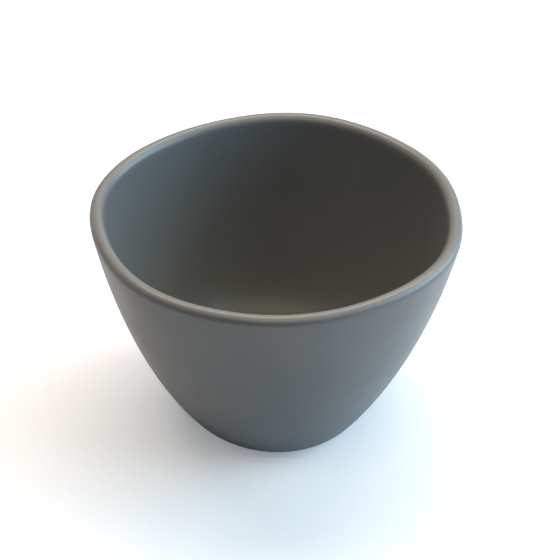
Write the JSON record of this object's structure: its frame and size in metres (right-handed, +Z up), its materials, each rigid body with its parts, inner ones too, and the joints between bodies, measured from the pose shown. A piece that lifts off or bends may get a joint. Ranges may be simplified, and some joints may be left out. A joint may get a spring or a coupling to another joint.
{
  "type": "dip bowl",
  "caption": "Small deep dip bowl of glazed stoneware with a rounded lip, a softly pinched polygonal outline and a small flat foot.",
  "frame": {"origin": "centre of the bowl's outline, on the plane that the foot ring stands on", "axes": "+Z up, out of the bowl's mouth; +X and +Y across the bowl, with the widest soft corner of the rim near +X"},
  "size_m": [0.1228, 0.1254, 0.078],
  "materials": {
    "satin_glaze": "satin slate grey glaze, melted on; bare sanded clay on the foot ring"
  },
  "bodies": {
    "root": {"bowl": "satin_glaze"}
  },
  "joints": []
}
